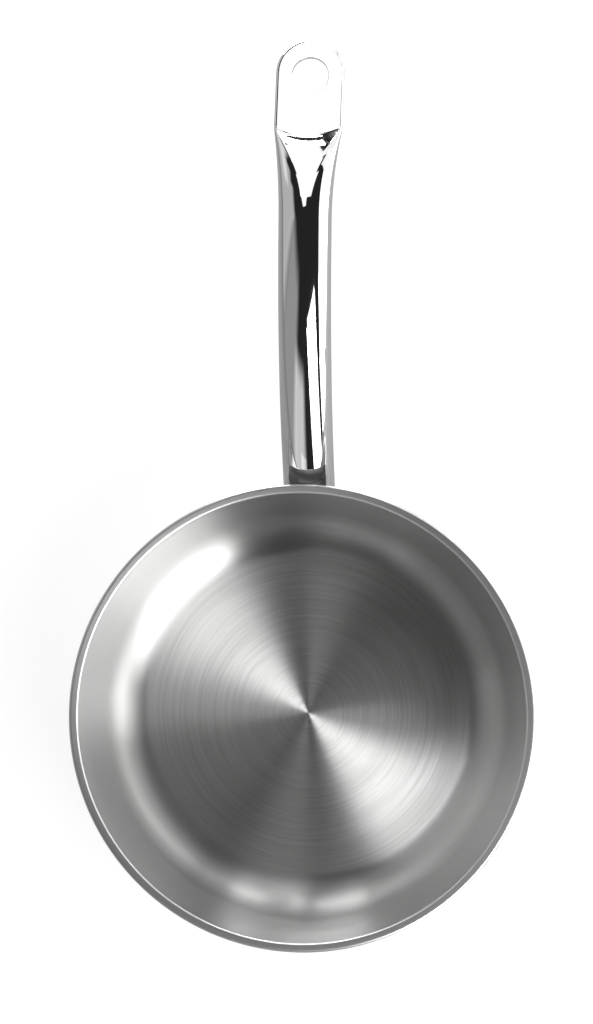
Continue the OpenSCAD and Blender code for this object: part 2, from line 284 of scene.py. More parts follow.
class TubeBuilder:
    """Builds the handle: two skins joined round the mouth, and a tab with a hanging hole."""

    # Columns round the section: a rounded side, a shoulder, the width of the window, and the underside.
    SIDE, SHOULDER, TOP, UNDER = 20, 12, 64, 64
    # Rows along the tube, from the mouth to the crease, then round the tab and round its hole.
    MOUTH_ROWS, COLLAR_ROWS, FLARE_ROWS, BLEND_ROWS = 44, 3, 60, 8
    TAB_ROWS, END_ROWS, HOLE_STEPS = 24, 56, 96
    ROW_SPACE = 1.0 * MM
    INNER_ROW_SPACE = 4.0 * MM
    FLAT_INSET = 0.4 * MM
    CAVITY_END = 0.95
    POLISHED, UNPOLISHED = 0, 1

    def __init__(self, shape):
        self.shape, self.h = shape, shape.h
        self.bm = bmesh.new()
        self.weight = self.bm.edges.layers.float.new("bevel_weight_edge")
        self.half_window = self.h.window_w / 2
        window_end = self.h.neck_l - self.h.collar_l
        self.tongue_from = shape.neck_from + window_end
        self.corner_s = self.tongue_from + self.h.tongue_sag
        self.tongue_r = (self.half_window**2 + self.h.tongue_sag**2) / (2 * self.h.tongue_sag)
        self.columns = 2 * self.SIDE + 2 * self.SHOULDER + self.TOP + self.UNDER
        self.first = self.SIDE + self.SHOULDER
        self.last = self.first + self.TOP
        self.left_side = self.last + self.SHOULDER

    def angles(self, inset):
        """Angle of each column round the section; column 0 is at the lower end of the right side."""
        side_t = math.acos(self.shape.side_x / (self.shape.side_x + self.h.tube_t))
        window_t = math.acos(self.half_window / (self.shape.grip[0] - inset))
        return (
            spaced(-side_t, side_t, self.SIDE)
            + spaced(side_t, window_t, self.SHOULDER)
            + spaced(window_t, math.pi - window_t, self.TOP)
            + spaced(math.pi - window_t, math.pi - side_t, self.SHOULDER)
            + spaced(math.pi - side_t, math.pi + side_t, self.SIDE)
            + spaced(math.pi + side_t, 2 * math.pi - side_t, self.UNDER)
        )

    def skin(self, inset, stations):
        """Vertices of a skin as {(column, row)}: rows below the window's corner, beside it, and on."""
        grid, angles = {}, self.angles(inset)
        for i, t in enumerate(angles):
            in_window = self.first < i < self.last
            x = (self.shape.grip[0] - inset) * math.cos(t)
            if in_window:
                start = self.tongue_from + self.tongue_r - math.sqrt(self.tongue_r**2 - x * x)
                rows = [None] * self.MOUTH_ROWS
            else:
                mouth = self.shape.mouth(t, inset)
                start = self.corner_s
                rows = spaced(mouth, start, self.MOUTH_ROWS)
            rows += spaced(start, stations[0], self.COLLAR_ROWS) + stations
            for row, s in enumerate(rows):
                if s is not None:
                    grid[i, row] = self.bm.verts.new(self.shape.point(s, t, inset))
        return grid, self.MOUTH_ROWS + self.COLLAR_ROWS + len(stations)

    def weave(self, grid, rows, finish):
        """Faces between neighbouring places of a grid that goes round all columns, in one finish."""
        for row in range(rows - 1):
            for i in range(self.columns):
                j = (i + 1) % self.columns
                corners = [grid.get(k) for k in ((i, row), (j, row), (j, row + 1), (i, row + 1))]
                if None not in corners:
                    self.bm.faces.new(corners).material_index = finish

    def bridge(self, first, second):
        """Faces between two closed loops of as many vertices."""
        for k in range(len(first)):
            n = (k + 1) % len(first)
            self.bm.faces.new((first[n], first[k], second[k], second[n]))

    def soften(self, loop):
        """Marks a closed loop of vertices for the bevel that rounds its edges."""
        for a, b in zip(loop, loop[1:] + loop[:1]):
            self.bm.edges.get((a, b))[self.weight] = 1

    def blend_rows(self, grid, rows, angles):
        """Adds rows that turn smoothly over the crease on to the tab."""
        h, reach = self.h, self.h.crease_blend
        for i, t in enumerate(angles):
            before = self.shape.point(self.shape.end - reach, t)
            corner = self.shape.point(self.shape.end, t)
            after = corner + reach * np.array([0, *direction(-h.tab_angle)])
            for k in range(self.BLEND_ROWS + 1):
                f = k / self.BLEND_ROWS
                place = before * (1 - f) ** 2 + corner * 2 * f * (1 - f) + after * f * f
                grid[i, rows + k] = self.bm.verts.new(place)
        return rows + self.BLEND_ROWS + 1

    def tab_edge(self, grid, row):
        """Carries the rounded sides along the tab and round its end. Returns the strip's rows."""
        shape, strip = self.shape, []
        right = [grid[i, row] for i in range(self.SIDE + 1)]
        left = [grid[self.left_side + self.SIDE - i, row] for i in range(self.SIDE + 1)]
        places = [self.off_tab(v.co) for v in right]
        strip.append(right)
        for k in range(1, self.TAB_ROWS + 1):
            f = k / self.TAB_ROWS
            strip.append([self.new_on_tab(x, y + (shape.tip_y - y) * f, z) for x, y, z in places])
        for k in range(1, self.END_ROWS + 1):
            a = math.pi * k / self.END_ROWS
            c, d = math.cos(a), math.sin(a)
            strip.append([self.new_on_tab(x * c, shape.tip_y + x * d, z) for x, _, z in places])
        for k in range(1, self.TAB_ROWS):
            f = 1 - k / self.TAB_ROWS
            strip.append([self.new_on_tab(-x, y + (shape.tip_y - y) * f, z) for x, y, z in places])
        strip.append(left)
        for lower, upper in zip(strip, strip[1:]):
            for i in range(self.SIDE):
                self.bm.faces.new((lower[i], lower[i + 1], upper[i + 1], upper[i]))
        return strip

    def new_on_tab(self, x, y, z):
        return self.bm.verts.new(self.shape.on_tab(x, y, z))

    def off_tab(self, co):
        """Place in the tab's own axes: across, along and square to it."""
        a = -self.h.tab_angle
        rest = np.array([co[1], co[2]]) - self.shape.tab_origin
        return co[0], rest @ direction(a), rest @ upwards(a)

    def flat_face(self, outline, level):
        """Fills the flat between an outline and the hanging hole. Returns the hole's loop."""
        middle_y = self.h.tab_l - self.h.hole_to_tip
        radius = self.h.hole_d / 2
        circle = []
        for k in range(self.HOLE_STEPS):
            a = 2 * math.pi * (k + 0.5) / self.HOLE_STEPS
            x, y = radius * math.cos(a), middle_y + radius * math.sin(a)
            circle.append(self.new_on_tab(x, y, level))
        edges = [
            self.bm.edges.get(pair) or self.bm.edges.new(pair)
            for loop in (outline, circle)
            for pair in zip(loop, loop[1:] + loop[:1])
        ]
        square = Vector((0, *upwards(-self.h.tab_angle)))
        filled = bmesh.ops.triangle_fill(self.bm, use_beauty=True, edges=edges, normal=square)["geom"]
        faces = [part for part in filled if isinstance(part, bmesh.types.BMFace)]
        bmesh.ops.recalc_face_normals(self.bm, faces=faces)
        bmesh.ops.inset_region(
            self.bm, faces=faces, thickness=self.FLAT_INSET, use_even_offset=True, use_boundary=True
        )
        return circle

    def build(self):
        """Makes the whole tube and returns its mesh."""
        shape, h = self.shape, self.h
        first_row = shape.arch_from
        arch_rows = round((shape.flare_from - first_row) / self.ROW_SPACE)
        arch = spaced(first_row, shape.flare_from, arch_rows)
        flare = spaced(shape.flare_from, shape.end - h.crease_blend, self.FLARE_ROWS)
        outer, rows = self.skin(0, arch + flare)
        rows = self.blend_rows(outer, rows, self.angles(0))
        self.weave(outer, rows, self.POLISHED)
        cavity_end = shape.flare_from + self.CAVITY_END * h.flare_l
        inner_rows = round((cavity_end - first_row) / self.INNER_ROW_SPACE)
        inner, rows_in = self.skin(h.tube_t, spaced(first_row, cavity_end, inner_rows) + [cavity_end])
        self.weave(inner, rows_in, self.UNPOLISHED)
        end = self.bm.faces.new([inner[i, rows_in - 1] for i in range(self.columns)])
        end.material_index = self.UNPOLISHED
        loop = rim_loop(self.columns, self.MOUTH_ROWS, self.first, self.last)
        outer_rim, inner_rim = [outer[k] for k in loop], [inner[k] for k in loop]
        self.bridge(outer_rim, inner_rim)
        strip = self.tab_edge(outer, rows - 1)
        above = [outer[i, rows - 1] for i in range(self.left_side - 1, self.SIDE, -1)]
        below = [outer[i, rows - 1] for i in range(self.left_side + self.SIDE + 1, self.columns)]
        upper = [row[-1] for row in strip] + above
        lower = [row[0] for row in strip] + below
        upper_hole = self.flat_face(upper, h.tube_t)
        lower_hole = self.flat_face(lower, -h.tube_t)
        self.bridge(upper_hole, lower_hole)
        for soft in (outer_rim, inner_rim, upper_hole, lower_hole):
            self.soften(soft)
        bmesh.ops.recalc_face_normals(self.bm, faces=self.bm.faces)
        mesh = bpy.data.meshes.new("handle")
        self.bm.to_mesh(mesh)
        self.bm.free()
        return mesh


class FinishSettings(bpy.types.PropertyGroup):
    """Colours and grain of the metals."""

    vessel: colour("Vessel", "Brushed steel of the vessel", (0.66, 0.66, 0.655, 1))
    rim: colour("Rim", "Satin steel of the pouring rim", (0.70, 0.70, 0.695, 1))
    capsule: colour("Base", "Turned steel under the base", (0.62, 0.62, 0.615, 1))
    handle: colour("Handle", "Mirror-polished steel of the handle", (0.80, 0.80, 0.80, 1))
    fitting: colour("Fittings", "Pressed steel in the handle's root", (0.85, 0.85, 0.85, 1))
    weld: colour("Welds", "Cleaned weld metal", (0.50, 0.49, 0.475, 1))
    aluminium: colour("Core", "Rolled aluminium of the core", (0.80, 0.81, 0.82, 1))
    ring_w: length("Ring", "Distance between the coarse rings left by grinding", 0.0011)
    grain_w: length("Grain", "Distance between the finest lines of the brushing", 0.0004)
    ring_arc: ratio("Ring arc", "Length of a ring's stretch, as a share of its radius", 1.4)
    grain_arc: ratio("Grain arc", "Length of a brushed line, as a share of its radius", 0.4)


class WeldSizes(bpy.types.PropertyGroup):
    """Sizes of the bead that joins the handle to the wall."""

    bead_r: length("Bead", "Radius of the bead", 0.00095)
    offset: length("Offset", "Distance of the bead's middle from the tube and the wall", 0.00035)
    pitch: length("Pitch", "Distance between the bead's ripples", 0.0011)
    ripple: length("Ripple", "Height of a ripple", 0.00012)
    bow: share("Bow", "Share of a ripple by which its middle trails", 0.6)


class StudioSettings(bpy.types.PropertyGroup):
    """Camera, floor and light of the studio."""

    camera_rise: length("Camera", "Height of the camera over the rim, along its view", 1.4)
    tilt: angle("Tilt", "Lean of the camera's view to the left", 4.8)
    roll: angle("Roll", "Turn of the camera about its view", 1.55)
    focal_px: ratio("Focal length", "Focal length in pixels", 3150)
    rim_px: FloatVectorProperty(
        name="Rim's place",
        description="Pixel at which the rim's centre shows",
        size=2,
        default=(300.7, 718.5),
    )
    floor_l: length("Floor", "Length of each side of the floor", 14)
    floor_gap: length("Floor gap", "Distance of the floor under the base", 0.0002)
    floor_glow: share("Floor glow", "Brightness that the floor shows without light on it", 0.86)
    floor_mirrored: share("Floor in metal", "Share of the floor's glow that the metal mirrors", 0.25)
    floor_tone: share("Floor tone", "Share of the light on it that the floor shows", 0.20)
    floor_bounce: share("Floor bounce", "Share of the light on it that the floor gives the pan", 0.8)
    dome_r: length("Dome", "Distance of the soft panels from their middle", 0.55)
    dome_middle: FloatVectorProperty(
        name="Dome's middle",
        description="Point that the soft panels face",
        size=3,
        default=(0, 0.08, 0.03),
        unit="LENGTH",
    )
    fill: share("Fill", "Brightness of the room between the softboxes", 0.02)


class Graph:
    """A node tree under construction. Sockets and plain values are both taken as inputs."""

    STEP = 190
    ROWS = 8

    def __init__(self, tree):
        self.tree = tree

    def add(self, kind, inputs=None, **settings):
        placed = len(self.tree.nodes)
        node = self.tree.nodes.new(kind)
        node.location = (self.STEP * (placed // self.ROWS), -self.STEP * (placed % self.ROWS))
        for key, value in settings.items():
            setattr(node, key, value)
        for key, value in (inputs or {}).items():
            self.feed(node.inputs[key], value)
        return node

    def feed(self, socket, value):
        """Links an input socket to an output, or gives it a plain value."""
        if isinstance(value, bpy.types.NodeSocket):
            self.tree.links.new(value, socket)
        else:
            socket.default_value = value

    def maths(self, operation, *values):
        return self.add("ShaderNodeMath", dict(enumerate(values)), operation=operation).outputs[0]

    def vector(self, operation, *values):
        return self.add("ShaderNodeVectorMath", dict(enumerate(values)), operation=operation).outputs[0]

    def vector_value(self, operation, *values):
        node = self.add("ShaderNodeVectorMath", dict(enumerate(values)), operation=operation)
        return node.outputs["Value"]

    def between(self, value, low, high, new_low=0.0, new_high=1.0, smooth=False):
        """Value from its place between low and high, held to new_low and new_high beyond them."""
        inputs = {"Value": value, "From Min": low, "From Max": high}
        inputs.update({"To Min": new_low, "To Max": new_high})
        kind = "SMOOTHSTEP" if smooth else "LINEAR"
        return self.add("ShaderNodeMapRange", inputs, interpolation_type=kind).outputs["Result"]

    def blend(self, share_of_second, first, second):
        """Colour between two."""
        node = self.add("ShaderNodeMix", data_type="RGBA")
        sockets = [s for s in node.inputs if s.type == "RGBA"]
        factor = next(s for s in node.inputs if s.type == "VALUE")
        for socket, value in zip([factor] + sockets, (share_of_second, first, second)):
            self.feed(socket, value)
        return next(s for s in node.outputs if s.type == "RGBA")

    def noise(self, vector, detail, roughness=0.5):
        inputs = {"Vector": vector, "Scale": 1.0, "Detail": detail, "Roughness": roughness}
        return self.add("ShaderNodeTexNoise", inputs).outputs["Fac"]


def new_group(name, kind, inputs, outputs):
    """Node group with its sockets, given as {name: (type, default)} and {name: type}."""
    tree = bpy.data.node_groups.new(name, kind)
    for label, (socket_type, default) in inputs.items():
        socket = tree.interface.new_socket(label, in_out="INPUT", socket_type=socket_type)
        if default is not None:
            socket.default_value = default
    for label, socket_type in outputs.items():
        tree.interface.new_socket(label, in_out="OUTPUT", socket_type=socket_type)
    graph = Graph(tree)
    return graph, graph.add("NodeGroupInput"), graph.add("NodeGroupOutput")


def group_once(name, make):
    return bpy.data.node_groups.get(name) or make(name)


def place_group(graph, name, make, inputs):
    """Outputs of a shader group that is placed with its own values and built only once."""
    return graph.add("ShaderNodeGroup", inputs, node_tree=group_once(name, make)).outputs


# Brushed lines: the rings to a band, the noise's detail and roughness, and the range of it in use.
RINGS_PER_BAND = 9.0
RING_DETAIL, GRAIN_DETAIL, BAND_DETAIL = 3.0, 2.0, 1.0
LINE_ROUGHNESS = 0.6
LINE_RANGE = (0.25, 0.75)


def ring_grain_group(name):
    """Grinding rings and fine brushing that run round the Z axis, each from 0 to 1."""
    scalar = "NodeSocketFloat"
    graph, given, result = new_group(
        name,
        "ShaderNodeTree",
        {
            "Position": ("NodeSocketVector", None),
            "Ring width": (scalar, 0.001),
            "Grain width": (scalar, 0.0003),
            "Ring length": (scalar, 0.4),
            "Grain length": (scalar, 0.05),
        },
        {"Rings": scalar, "Grain": scalar, "Bands": scalar},
    )
    place = given.outputs["Position"]
    xyz = graph.add("ShaderNodeSeparateXYZ", {0: place}).outputs
    level = graph.add("ShaderNodeCombineXYZ", {"X": xyz["X"], "Y": xyz["Y"]}).outputs[0]
    across = graph.maths("ADD", graph.vector_value("LENGTH", level), xyz["Z"])
    round_xyz = graph.add("ShaderNodeSeparateXYZ", {0: graph.vector("NORMALIZE", level)}).outputs

    def lines(width, sweep, detail):
        spot = graph.add(
            "ShaderNodeCombineXYZ",
            {
                "X": graph.maths("DIVIDE", across, width),
                "Y": graph.maths("DIVIDE", round_xyz["X"], sweep),
                "Z": graph.maths("DIVIDE", round_xyz["Y"], sweep),
            },
        ).outputs[0]
        return graph.noise(spot, detail, LINE_ROUGHNESS)

    ring_w, ring_l = given.outputs["Ring width"], given.outputs["Ring length"]
    rings = lines(ring_w, ring_l, RING_DETAIL)
    grain = lines(given.outputs["Grain width"], given.outputs["Grain length"], GRAIN_DETAIL)
    bands = lines(graph.maths("MULTIPLY", ring_w, RINGS_PER_BAND), ring_l, BAND_DETAIL)
    for label, value in (("Rings", rings), ("Grain", grain), ("Bands", bands)):
        graph.feed(result.inputs[label], graph.between(value, *LINE_RANGE))
    return graph.tree


# Handling marks: the range of the noise in use, and how waves and scratches are squeezed along the
# axes. A small share along Y draws them out that way.
SMEAR_RANGE, SMEAR_DETAIL, SMEAR_ROUGHNESS = (0.35, 0.75), 4.0, 0.6
SCRATCH_RANGE, SCRATCH_DETAIL, SCRATCH_ROUGHNESS = (0.60, 0.72), 2.0, 0.7
WAVE_SQUEEZE, WAVE_DETAIL = (2.6, 1.1, 2.6), 0.0
SCRATCH_SQUEEZE = (1.0, 0.02, 1.0)


def handling_marks_group(name):
    """Faint smears and hairline scratches left by handling, each from 0 to 1."""
    scalar = "NodeSocketFloat"
    graph, given, result = new_group(
        name,
        "ShaderNodeTree",
        {
            "Position": ("NodeSocketVector", None),
            "Smear size": (scalar, 0.03),
            "Scratch width": (scalar, 0.0003),
        },
        {"Smears": scalar, "Scratches": scalar, "Waves": scalar},
    )
    place = given.outputs["Position"]
    by_size = graph.vector("DIVIDE", place, given.outputs["Smear size"])
    smears = graph.between(graph.noise(by_size, SMEAR_DETAIL, SMEAR_ROUGHNESS), *SMEAR_RANGE)
    waves = graph.noise(graph.vector("MULTIPLY", by_size, WAVE_SQUEEZE), WAVE_DETAIL)
    fine = graph.vector("DIVIDE", place, given.outputs["Scratch width"])
    drawn = graph.vector("MULTIPLY", fine, SCRATCH_SQUEEZE)
    scratches = graph.between(graph.noise(drawn, SCRATCH_DETAIL, SCRATCH_ROUGHNESS), *SCRATCH_RANGE)
    for label, value in (("Smears", smears), ("Scratches", scratches), ("Waves", waves)):
        graph.feed(result.inputs[label], value)
    return graph.tree


class Metal:
    """A metal material: a Principled shader, and the graph that drives what varies over it."""

    def __init__(self, name, **fixed):
        self.material = bpy.data.materials.new(name)
        self.material.use_nodes = True
        self.material.node_tree.nodes.clear()
        self.graph = Graph(self.material.node_tree)
        self.shader = self.graph.add("ShaderNodeBsdfPrincipled")
        self.shader.inputs["Metallic"].default_value = 1.0
        for label, value in fixed.items():
            self.shader.inputs[label.replace("_", " ")].default_value = value
        self.graph.add("ShaderNodeOutputMaterial", {"Surface": self.shader.outputs[0]})
        self.place = self.graph.add("ShaderNodeTexCoord").outputs["Object"]

    def drive(self, label, value):
        self.graph.feed(self.shader.inputs[label], value)

    def bump(self, height, distance):
        inputs = {"Height": height, "Distance": distance}
        self.drive("Normal", self.graph.add("ShaderNodeBump", inputs).outputs[0])

    def shades(self, base, mask, depth):
        """Base colour, darkened by up to depth where the mask is 0."""
        dark = [c * (1 - depth) for c in base[:3]] + [1]
        self.drive("Base Color", self.graph.blend(mask, dark, list(base)))


# Share of the coarse rings in the brushed lines; the rest is fine grain.
RING_SHARE = 0.6
# Sums of lines and bands at which the roughness is the first and the second of these shares of itself.
SWING_RANGE = (0.4, 1.6)
ROUGHNESS_SWING = (1.12, 0.9)
# A quarter turn of the tangent lays the highlight across the rings.
QUARTER_TURN = 0.25
# The brushed metals: the roughness, the depth of the shading, the rise of the grain, the anisotropy.
RINGED = {
    "brushed inside": (0.46, 0.30, 0.004 * MM, 1.0),
    "satin rim": (0.37, 0.24, 0.003 * MM, 0.3),
    "brushed outside": (0.30, 0.12, 0.004 * MM, 0.9),
    "turned base": (0.30, 0.18, 0.005 * MM, 0.9),
}
# Two radii, and the shares of the roughness and of the lines that are left beyond the second.
EVEN = (0, 1, 1, 1)


def ringed_metal(name, base, finish, smoothing=EVEN):
    """Steel brushed in rings round the Z axis, smoother and plainer beyond the second of two radii."""
    roughness, depth, grain_rise, anisotropy = RINGED[name]
    metal = Metal(name, Anisotropic=anisotropy, Anisotropic_Rotation=QUARTER_TURN)
    graph = metal.graph
    tangent = graph.add("ShaderNodeTangent", direction_type="RADIAL", axis="Z")
    metal.drive("Tangent", tangent.outputs[0])
    inputs = {
        "Position": metal.place,
        "Ring width": finish.ring_w,
        "Grain width": finish.grain_w,
        "Ring length": finish.ring_arc,
        "Grain length": finish.grain_arc,
    }
    group = place_group(graph, "ring grain", ring_grain_group, inputs)
    level = graph.vector("MULTIPLY", metal.place, (1.0, 1.0, 0.0))
    radius = graph.vector_value("LENGTH", level)
    near, far, smooth_share, lines_share = smoothing
    coarse = graph.between(radius, near, far, 1.0, smooth_share, smooth=True)
    contrast = graph.between(radius, near, far, 1.0, lines_share, smooth=True)
    grain = graph.maths("MULTIPLY", group["Grain"], 1 - RING_SHARE)
    lines = graph.maths("MULTIPLY_ADD", group["Rings"], RING_SHARE, grain)
    lines = graph.maths("MULTIPLY_ADD", graph.maths("SUBTRACT", lines, 0.5), contrast, 0.5)
    metal.shades(base, lines, depth)
    swing = (roughness * part for part in ROUGHNESS_SWING)
    rough = graph.between(graph.maths("ADD", lines, group["Bands"]), *SWING_RANGE, *swing)
    metal.drive("Roughness", graph.maths("MULTIPLY", rough, coarse))
    metal.bump(lines, grain_rise)
    return metal.material


# The plain metals: how much rougher smears and scratches are, the roughness, the depth of the shading,
# the rise of the waves and the size of the smears.
MARKED = {
    "rolled aluminium": (0.10, 0.05, 0.38, 0.10, 0.01 * MM, 20 * MM),
    "polished handle": (0.02, 0.02, 0.035, 0.10, 0.02 * MM, 30 * MM),
    "drawn inside": (0.15, 0.15, 0.50, 0.30, 0.02 * MM, 4 * MM),
    "pressed steel": (0.12, 0.10, 0.45, 0.25, 0.02 * MM, 6 * MM),
    "pressed plate": (0.12, 0.10, 0.55, 0.20, 0.02 * MM, 5 * MM),
    "spot weld metal": (0.15, 0.10, 0.30, 0.30, 0.03 * MM, 4 * MM),
    "weld bead metal": (0.20, 0.10, 0.30, 0.35, 0.02 * MM, 4 * MM),
}


def marked_metal(name, base):
    """Plain metal with the smears, scratches and waves that handling leaves."""
    smears, scratches, roughness, depth, wave_rise, smear_size = MARKED[name]
    metal = Metal(name)
    graph = metal.graph
    inputs = {"Position": metal.place, "Smear size": smear_size}
    group = place_group(graph, "handling marks", handling_marks_group, inputs)
    scratched = graph.maths("MULTIPLY", group["Scratches"], scratches)
    marks = graph.maths("MULTIPLY_ADD", group["Smears"], smears, scratched)
    clean = graph.maths("SUBTRACT", 1.0, marks)
    metal.shades(base, clean, depth)
    metal.drive("Roughness", graph.maths("ADD", marks, roughness))
    metal.bump(group["Waves"], wave_rise)
    return metal.material


ZONES = ("Inside", "Rim", "Outside")


def turned_sheet_tree(name):
    """Turns an outline about the Z axis, closes it, and gives each zone of it a material."""
    inputs = {"Outline": ("NodeSocketGeometry", None), "Steps": ("NodeSocketInt", 64)}
    inputs.update({zone: ("NodeSocketMaterial", None) for zone in ZONES})
    graph, given, result = new_group(name, "GeometryNodeTree", inputs, {"Sheet": "NodeSocketGeometry"})
    outline, steps = given.outputs["Outline"], given.outputs["Steps"]
    size = graph.add("GeometryNodeAttributeDomainSize", {0: outline}, component="MESH")
    columns = graph.maths("ADD", steps, 1.0)
    inputs = {"Vertices X": size.outputs["Point Count"], "Vertices Y": columns}
    grid = graph.add("GeometryNodeMeshGrid", inputs).outputs["Mesh"]
    index = graph.add("GeometryNodeInputIndex").outputs[0]

    def from_outline(data_type, value, per_row):
        row = graph.maths("FLOOR", graph.maths("DIVIDE", index, per_row))
        inputs = {"Geometry": outline, "Value": value, "Index": row}
        sample = graph.add("GeometryNodeSampleIndex", inputs, data_type=data_type, domain="POINT")
        return sample.outputs[0]

    place = from_outline("FLOAT_VECTOR", graph.add("GeometryNodeInputPosition").outputs[0], columns)
    step = graph.maths("MODULO", index, columns)
    turn = graph.maths("DIVIDE", graph.maths("MULTIPLY", step, 2 * math.pi), steps)
    turned = graph.add("ShaderNodeVectorRotate", {"Vector": place, "Angle": turn}, rotation_type="Z_AXIS")
    inputs = {"Geometry": grid, "Position": turned.outputs[0]}
    sheet = graph.add("GeometryNodeSetPosition", inputs)
    zone = graph.add("GeometryNodeInputNamedAttribute", {"Name": "zone"}, data_type="INT").outputs[0]
    inputs = {"Geometry": sheet.outputs[0], "Name": "zone", "Value": from_outline("INT", zone, steps)}
    sheet = graph.add("GeometryNodeStoreNamedAttribute", inputs, data_type="INT", domain="FACE")
    inputs = {"Geometry": sheet.outputs[0], "Distance": MERGE_DISTANCE}
    sheet = graph.add("GeometryNodeMergeByDistance", inputs)
    sheet = graph.add("GeometryNodeSetShadeSmooth", {"Geometry": sheet.outputs[0]})
    sheet = graph.add("GeometryNodeRealizeInstances", {"Geometry": sheet.outputs[0]})
    for number, label in enumerate(ZONES):
        chosen = graph.maths("COMPARE", zone, float(number), 0.5)
        inputs = {"Geometry": sheet.outputs[0], "Selection": chosen, "Material": given.outputs[label]}
        sheet = graph.add("GeometryNodeSetMaterial", inputs)
    graph.feed(result.inputs[0], sheet.outputs[0])
    return graph.tree


RIPPLE_SHARPNESS = 0.6


def weld_bead_tree(name):
    """Sweeps a round bead along a path and raises its trailing ripples."""
    scalar = "NodeSocketFloat"
    graph, given, result = new_group(
        name,
        "GeometryNodeTree",
        {
            "Path": ("NodeSocketGeometry", None),
            "Radius": (scalar, 0.001),
            "Pitch": (scalar, 0.001),
            "Ripple": (scalar, 0.0001),
            "Bow": (scalar, 0.5),
            "Step": (scalar, 0.0001),
            "Sides": ("NodeSocketInt", 20),
            "Metal": ("NodeSocketMaterial", None),
        },
        {"Bead": "NodeSocketGeometry"},
    )
    curve = graph.add("GeometryNodeMeshToCurve", {"Mesh": given.outputs["Path"]}).outputs[0]
    inputs = {"Curve": curve, "Length": given.outputs["Step"]}
    curve = graph.add("GeometryNodeResampleCurve", inputs, mode="LENGTH")
    along = graph.add("GeometryNodeSplineParameter").outputs

    def captured(geometry, value):
        node = graph.add("GeometryNodeCaptureAttribute", {"Geometry": geometry})
        node.capture_items.new("FLOAT", "Value")
        graph.feed(node.inputs["Value"], value)
        return node.outputs["Geometry"], node.outputs["Value"]

    path, distance = captured(curve.outputs[0], along["Length"])
    inputs = {"Radius": given.outputs["Radius"], "Resolution": given.outputs["Sides"]}
    ring = graph.add("GeometryNodeCurvePrimitiveCircle", inputs, mode="RADIUS")
    profile, turn = captured(ring.outputs["Curve"], along["Factor"])
    inputs = {"Curve": path, "Profile Curve": profile, "Fill Caps": True}
    bead = graph.add("GeometryNodeCurveToMesh", inputs).outputs[0]
    side = graph.maths("SINE", graph.maths("MULTIPLY", turn, 2 * math.pi))
    trail = graph.maths("MULTIPLY", graph.maths("MULTIPLY", side, side), given.outputs["Bow"])
    phase = graph.maths("ADD", graph.maths("DIVIDE", distance, given.outputs["Pitch"]), trail)
    wave = graph.maths("POWER", graph.maths("FRACT", phase), RIPPLE_SHARPNESS)
    lift = graph.maths("MULTIPLY", graph.maths("SUBTRACT", wave, 0.5), given.outputs["Ripple"])
    normal = graph.add("GeometryNodeInputNormal").outputs[0]
    offset = graph.add("ShaderNodeVectorMath", {0: normal, "Scale": lift}, operation="SCALE").outputs[0]
    bead = graph.add("GeometryNodeSetPosition", {"Geometry": bead, "Offset": offset}).outputs[0]
    bead = graph.add("GeometryNodeSetShadeSmooth", {"Geometry": bead}).outputs[0]
    bead = graph.add("GeometryNodeRealizeInstances", {"Geometry": bead}).outputs[0]
    bead = graph.add("GeometryNodeSetMaterial", {"Geometry": bead, "Material": given.outputs["Metal"]})
    graph.feed(result.inputs[0], bead.outputs[0])
    return graph.tree


def add_piece(name, mesh):
    piece = bpy.data.objects.new(name, mesh)
    bpy.context.scene.collection.objects.link(piece)
    return piece


def grown(name, source, tree, inputs):
    """Object whose mesh is what the tree makes of a source mesh; inputs go by socket name."""
    piece = add_piece(name, source)
    modifier = piece.modifiers.new("grow", "NODES")
    modifier.node_group = tree
    for item in tree.interface.items_tree:
        if item.in_out == "INPUT" and item.name in inputs:
            modifier[item.identifier] = inputs[item.name]
    graph = bpy.context.evaluated_depsgraph_get()
    mesh = bpy.data.meshes.new_from_object(piece.evaluated_get(graph), depsgraph=graph)
    piece.modifiers.clear()
    piece.data = mesh
    mesh.name = name
    bpy.data.meshes.remove(source)
    return piece


def declare(piece, node):
    """Says which body a piece rides and the CAD node that it replaces."""
    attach(piece, BODY)
    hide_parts(node)


def deburr(piece, width, segments, **limit):
    """Rounds a piece's edges, and shades its flats as flat."""
    bevel = piece.modifiers.new("deburr", "BEVEL")
    bevel.width = width
    bevel.segments = segments
    for key, value in limit.items():
        setattr(bevel, key, value)
    piece.modifiers.new("shade", "WEIGHTED_NORMAL").keep_sharp = True


def turned_piece(name, outline, steps, materials):
    """Piece turned from an outline of (radius, height, zone)."""
    source = bpy.data.meshes.new("outline")
    source.from_pydata([(r, 0, z) for r, z, _ in outline], [], [])
    zones = source.attributes.new("zone", "INT", "POINT")
    zones.data.foreach_set("value", [zone for _, _, zone in outline])
    tree = group_once("turned sheet", turned_sheet_tree)
    return grown(name, source, tree, {"Steps": steps, **dict(zip(ZONES, materials))})


INSIDE, RIM, OUTSIDE = range(3)
# Distance of the outer two points of a straight stretch from its ends.
SUPPORT = 0.25 * MM


def supported(a, b, steps):
    """Points between two ends of a flat or straight stretch, the outer two close to the ends."""
    a, b = np.array(a, float), np.array(b, float)
    reach = SUPPORT / np.linalg.norm(b - a)
    shares = [reach] + [k / steps for k in range(1, steps)] + [1 - reach]
    return [a + (b - a) * f for f in shares]


def zoned(points, zone):
    return [(float(r), float(z), zone) for r, z in points]


# Steps of the vessel's arcs, on its upper and its lower face, and of the stretches between them.
CORNER_STEPS, BEND_STEPS, EDGE_STEPS, CURL_STEPS = 28, 14, 10, 8
UNDER_EDGE_STEPS, UNDER_BEND_STEPS, UNDER_CORNER_STEPS = 6, 8, 20
FLOOR_STEPS, WALL_STEPS, LIP_STEPS, SEAT_STEPS = 6, 6, 2, 4


